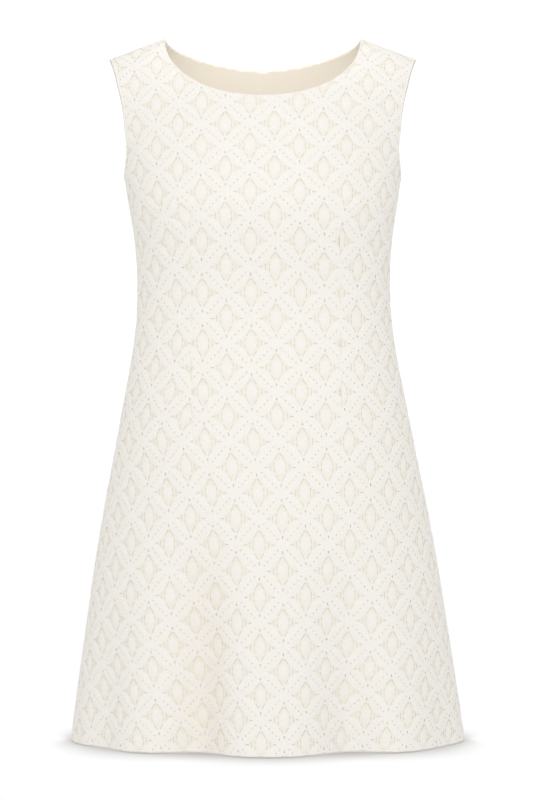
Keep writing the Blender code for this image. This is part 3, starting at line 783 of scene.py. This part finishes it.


# Sections of the bands along the edges, from the outside in: inset from the edge, offset, and shade,
# which is 0 for the lace, 1 for the lace with darker shade painted on, and 2 for the lining. The
# armholes' inner layer rolls out past the lace and has shade painted on it, and the hem has shade
# painted on its underside.
NECK_SECTION = (
    (0.0019, -0.0009, 0),
    (0.0015, -0.0005, 0),
    (0.0010, -0.0002, 0),
    (0.0004, -0.0003, 0),
    (0.0000, -0.0008, 0),
    (0.0001, -0.0013, 0),
    (0.0008, -0.0014, 0),
)
ARM_SECTION = (
    (0.0019, -0.0009, 0),
    (0.0015, -0.0005, 0),
    (0.0010, -0.0002, 0),
    (0.0005, -0.0003, 0),
    (0.0001, -0.0008, 1),
    (-0.0008, -0.0012, 1),
    (-0.0017, -0.0016, 1),
    (-0.0018, -0.0024, 1),
    (-0.0008, -0.0028, 1),
    (0.0004, -0.0029, 2),
    (0.0014, -0.0028, 2),
    (0.0020, -0.0019, 2),
)
HEM_SECTION = (
    (0.0028, -0.0007, 0),
    (0.0020, -0.0003, 0),
    (0.0010, -0.0004, 0.2),
    (0.0004, -0.0008, 1),
    (0.0000, -0.0014, 1),
    (0.0000, -0.0024, 1),
    (0.0002, -0.0034, 1),
    (0.0010, -0.0038, 0.6),
    (0.0030, -0.0036, 0),
    (0.0080, -0.0034, 0),
    (0.0150, -0.0034, 0),
    (HEM_ALLOWANCE, -0.0034, 0),
)


# Colours. A tint is multiplied with the colour under it.
LACE_PETAL = (0.878, 0.851, 0.806)
LACE_NET = (0.874, 0.842, 0.770)
NET_SHADE = (0.845, 0.807, 0.714)
STITCH_TINT = (0.958, 0.955, 0.942)
WARM_TINT = (1.0, 0.985, 0.960)
# Shade painted into the folds' troughs, darker and warmer.
TROUGH_SHADE_TINT = (0.990, 0.970, 0.948)
# Shade painted on the edges where the lace rolls under: the armholes' rolled-out inner layer and the
# underside of the hem.
EDGE_SHADE_TINT = (0.78, 0.775, 0.75)
LINING_COLOUR = (0.928, 0.868, 0.768)
LINING_DEEP = (0.916, 0.852, 0.745)
WHITE = (1.0, 1.0, 1.0)
BLACK = (0.0, 0.0, 0.0)
FLOOR_SHADE = (0.16, 0.12, 0.08)

# Sizes of what the materials draw, in metres.
NET_THREAD = LACE_STEP / 12
LINING_THREAD = 0.0010
STITCH_SIZE = 0.0016
YARN_SIZE = 0.0014
YARN_DEPTH = 0.0004
LINING_DEPTH = 0.0001
WARM_SIZE = 0.007  # of the lace's warmer blotches
PRESSED_SIZE = 0.004  # of the blotches along a pressed edge
LINING_SIZE = 0.08  # of the lining's
TURNED_UP = (0.012, 0.024)  # where the hem's turned-up lace ends behind the lining, with a soft edge
SHADE_REACH = (0.07, 0.014)  # of the floor's shade before and behind the hem, and at its sides
SHADE_FAR = 0.14  # from the side seams' plane to where it reaches the first of these


def set_inputs(node, **values):
    """Sets a node's inputs by name, with _ for a space. A colour of three gets full opacity."""
    for name, value in values.items():
        colour = isinstance(value, tuple) and len(value) == 3
        node.inputs[name.replace("_", " ")].default_value = (*value, 1) if colour else value


def node_material(name, **values):
    material = bpy.data.materials.new(name)
    material.use_nodes = True
    tree = material.node_tree
    shader = tree.nodes["Principled BSDF"]
    set_inputs(shader, **values)
    return material, tree, shader


def ranged(tree, value, low, high, kind="LINEAR"):
    """A value as 0 where it is at low and 1 where it is at high."""
    node = tree.nodes.new("ShaderNodeMapRange")
    node.interpolation_type = kind
    set_inputs(node, From_Min=low, From_Max=high)
    tree.links.new(value, node.inputs["Value"])
    return node.outputs["Result"]


def attribute_ramp(tree, attribute, low, high):
    """An attribute of the mesh, easing from 0 at low to 1 at high."""
    node = tree.nodes.new("ShaderNodeAttribute")
    node.attribute_name = attribute
    return ranged(tree, node.outputs["Fac"], low, high, "SMOOTHSTEP")


def mixed(tree, factor, one, other, blend="MIX"):
    """A colour between two, each a colour or a socket, or one multiplied by the other."""
    mix = tree.nodes.new("ShaderNodeMix")
    mix.data_type = "RGBA"
    mix.blend_type = blend
    tree.links.new(factor, mix.inputs["Factor"])
    for socket, colour in (("A", one), ("B", other)):
        target = [s for s in mix.inputs if s.name == socket and s.type == "RGBA"][0]
        if isinstance(colour, tuple):
            target.default_value = (*colour, 1)
        else:
            tree.links.new(colour, target)
    return [s for s in mix.outputs if s.type == "RGBA"][0]


def noise(tree, size, coordinates):
    """Soft blotches of about that size in metres."""
    node = tree.nodes.new("ShaderNodeTexNoise")
    set_inputs(node, Scale=0.7 / size, Detail=2)
    tree.links.new(coordinates, node.inputs["Vector"])
    return node.outputs["Fac"]


def threads(tree, pitch, coordinates, wander):
    """Fine upright ridges, pitch metres apart."""
    wave = tree.nodes.new("ShaderNodeTexWave")
    set_inputs(wave, Scale=math.pi / 10 / pitch, Distortion=wander, Detail=1, Detail_Scale=4)
    tree.links.new(coordinates, wave.inputs["Vector"])
    return wave.outputs["Fac"]


def bump(tree, shader, height, strength, distance):
    node = tree.nodes.new("ShaderNodeBump")
    set_inputs(node, Strength=strength, Distance=distance)
    tree.links.new(height, node.inputs["Height"])
    tree.links.new(node.outputs["Normal"], shader.inputs["Normal"])


def cloth_uv(tree):
    node = tree.nodes.new("ShaderNodeUVMap")
    node.uv_map = "cloth"
    return node.outputs["UV"]


def lace_material():
    """Cotton lace: pale solid petals, and a net of upright threads, darker and more golden."""
    material, tree, shader = node_material(
        "ivory_lace", Roughness=0.9, Specular_IOR_Level=0.2, Sheen_Weight=0.15
    )
    uv = cloth_uv(tree)
    raised = attribute_ramp(tree, "rise", 0.0, 0.6)
    upright = ranged(tree, threads(tree, NET_THREAD, uv, 0.3), 0.25, 0.75)
    stitches = ranged(tree, noise(tree, STITCH_SIZE, uv), 0.50, 0.30)
    blotches = ranged(tree, noise(tree, WARM_SIZE, uv), 0.45, 0.75)
    # Shade painted into the folds' troughs.
    trough_shade = attribute_ramp(tree, "painted_trough_shade", 0.1, 1.0)
    colour = mixed(tree, raised, mixed(tree, upright, NET_SHADE, LACE_NET), LACE_PETAL)
    for place, tint in ((stitches, STITCH_TINT), (blotches, WARM_TINT), (trough_shade, TROUGH_SHADE_TINT)):
        colour = mixed(tree, place, colour, tint, "MULTIPLY")
    tree.links.new(colour, shader.inputs["Base Color"])
    bump(tree, shader, noise(tree, YARN_SIZE, uv), 0.5, YARN_DEPTH)
    return material


def edge_material():
    """The lace turned in and pressed flat along an edge, with shade painted on where it rolls under,
    and the lining inside.
    """
    material, tree, shader = node_material("ivory_lace_edge", Roughness=0.9, Specular_IOR_Level=0.2)
    uv = cloth_uv(tree)
    colour = mixed(tree, noise(tree, PRESSED_SIZE, uv), LACE_NET, LACE_PETAL)
    # Shade painted on where the edge rolls under, then the lining's colour inside.
    colour = mixed(tree, attribute_ramp(tree, "shade", 0.0, 1.0), colour, EDGE_SHADE_TINT, "MULTIPLY")
    colour = mixed(tree, attribute_ramp(tree, "shade", 1.0, 2.0), colour, LINING_COLOUR)
    tree.links.new(colour, shader.inputs["Base Color"])
    bump(tree, shader, noise(tree, YARN_SIZE, uv), 0.5, YARN_DEPTH)
    return material


def lining_material():
    """Fine beige lining with a soft sheen. The turned-up hem shows through as a paler band."""
    material, tree, shader = node_material(
        "beige_lining", Roughness=0.5, Specular_IOR_Level=0.35, Sheen_Weight=0.2
    )
    uv = cloth_uv(tree)
    above_hem = attribute_ramp(tree, "height", *TURNED_UP)
    cloth = mixed(tree, noise(tree, LINING_SIZE, uv), LINING_COLOUR, LINING_DEEP)
    tree.links.new(mixed(tree, above_hem, LACE_NET, cloth), shader.inputs["Base Color"])
    bump(tree, shader, threads(tree, LINING_THREAD, uv, 0.6), 0.15, LINING_DEPTH)
    return material


def floor_material():
    """White paper, shaded only close to the hem, and farther out in front of it and behind."""
    material, tree, shader = node_material(
        "floor_white", Base_Color=BLACK, Specular_IOR_Level=0, Emission_Strength=1
    )
    place = tree.nodes.new("ShaderNodeTexCoord")
    split = tree.nodes.new("ShaderNodeSeparateXYZ")
    either_way = tree.nodes.new("ShaderNodeMath")
    either_way.operation = "ABSOLUTE"
    reach = tree.nodes.new("ShaderNodeMapRange")
    far, near = SHADE_REACH
    set_inputs(reach, From_Min=SHADE_FAR, From_Max=0.0, To_Min=far, To_Max=near)
    open_sky = tree.nodes.new("ShaderNodeAmbientOcclusion")
    open_sky.samples = 16
    tree.links.new(place.outputs["Object"], split.inputs["Vector"])
    tree.links.new(split.outputs["Y"], either_way.inputs[0])
    tree.links.new(either_way.outputs["Value"], reach.inputs["Value"])
    tree.links.new(reach.outputs["Result"], open_sky.inputs["Distance"])
    colour = mixed(tree, open_sky.outputs["AO"], FLOOR_SHADE, WHITE)
    tree.links.new(colour, shader.inputs["Emission Color"])
    return material


def backdrop_material():
    """White that glows a little, so that it stays plain all round."""
    return node_material(
        "backdrop_white", Base_Color=BLACK, Roughness=1, Emission_Color=WHITE, Emission_Strength=1.1
    )[0]


def build_side(side, lace, edge, lining):
    """The front or the back, and what each CAD node is replaced with."""
    panel = Panel(side)
    edges = edges_of(panel)
    lace_piece = lace_panel(panel, f"lace_{side}_cloth", lace)
    lining_piece = lining_panel(panel, f"lining_{side}_cloth", lining)
    neck = strip(panel, f"neck_{side}_edge", edges["neck"], NECK_SECTION, edge)
    arms = [
        strip(panel, f"armhole_{side}_{turn}_edge", edges[f"arm_{turn}"], ARM_SECTION, edge)
        for turn in ("left", "right")
    ]
    hem = strip(panel, f"hem_{side}_fold", edges["hem"], HEM_SECTION, edge)
    for piece in (lace_piece, lining_piece, neck, *arms, hem):
        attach(piece, "root")
    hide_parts(f"lace_{side}")
    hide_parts(f"lining_{side}")
    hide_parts(f"hem_{side}")


FLOOR_Z = HEM_Z - 0.002
STUDIO_RADIUS = 9
SKY_STRENGTH = 0.83
CAMERA_PLACE = (0.0045, -3.0, -0.4215)
CAMERA_LENS = 112.5

# Lamps: where each stands and aims at, its size in metres, its power in watts and its spread in
# degrees. The small ones light the lining inside the neck.
LARGE = (1.6, 1.6)
SMALL = (0.14, 0.04)
WAIST = (0, 0, -0.35)
LAMPS = {
    "key": ((-0.6, -2.3, 0.5), WAIST, LARGE, 11.4, 180),
    "fill": ((1.0, -2.0, 0.6), WAIST, LARGE, 6.4, 180),
    "back": ((0.3, 2.4, 0.5), WAIST, LARGE, 15, 180),
    "neck_left": ((-0.26, -0.50, 0.34), (0.08, 0.06, -0.02), SMALL, 0.017, 18),
    "neck_right": ((0.26, -0.50, 0.34), (-0.08, 0.06, -0.02), SMALL, 0.018, 18),
}


def add_lamp(name, place, aim, size, power, spread):
    data = bpy.data.lights.new(name, "AREA")
    data.shape = "RECTANGLE"
    data.size, data.size_y = size
    data.energy = power
    data.spread = math.radians(spread)
    lamp = bpy.data.objects.new(name, data)
    lamp.location = place
    lamp.rotation_euler = (Vector(aim) - Vector(place)).to_track_quat("-Z", "Y").to_euler()
    bpy.context.scene.collection.objects.link(lamp)


def staged(name, material):
    """The object just added, named, and seen only by the camera."""
    backing = bpy.context.object
    backing.name = name
    backing.data.materials.append(material)
    backing.visible_diffuse = False
    backing.visible_glossy = False
    backing.visible_shadow = False
    return backing


def build_studio():
    """A white sweep all round, soft light from the front, and the photograph's camera."""
    scene = bpy.context.scene
    world = bpy.data.worlds.new("studio")
    world.use_nodes = True
    set_inputs(world.node_tree.nodes["Background"], Color=WHITE, Strength=SKY_STRENGTH)
    scene.world = world

    middle = (0, 0, FLOOR_Z)
    bpy.ops.mesh.primitive_circle_add(
        vertices=96, radius=STUDIO_RADIUS, fill_type="NGON", location=middle
    )
    floor = staged("floor", floor_material())
    bpy.ops.mesh.primitive_uv_sphere_add(
        segments=64, ring_count=32, radius=STUDIO_RADIUS, location=middle
    )
    dome = staged("backdrop", backdrop_material())

    for name, lamp in LAMPS.items():
        add_lamp(name, *lamp)

    data = bpy.data.cameras.new("camera")
    data.lens = CAMERA_LENS
    data.sensor_width = 36
    camera = bpy.data.objects.new("camera", data)
    camera.location = CAMERA_PLACE
    camera.rotation_euler = (math.radians(90), 0, 0)
    scene.collection.objects.link(camera)
    scene.camera = camera
    scene.view_settings.view_transform = "Standard"
    scene.view_settings.look = "None"


lace_cloth = lace_material()
edge_cloth = edge_material()
lining_cloth = lining_material()
for side_name in ("front", "back"):
    build_side(side_name, lace_cloth, edge_cloth, lining_cloth)
build_studio()
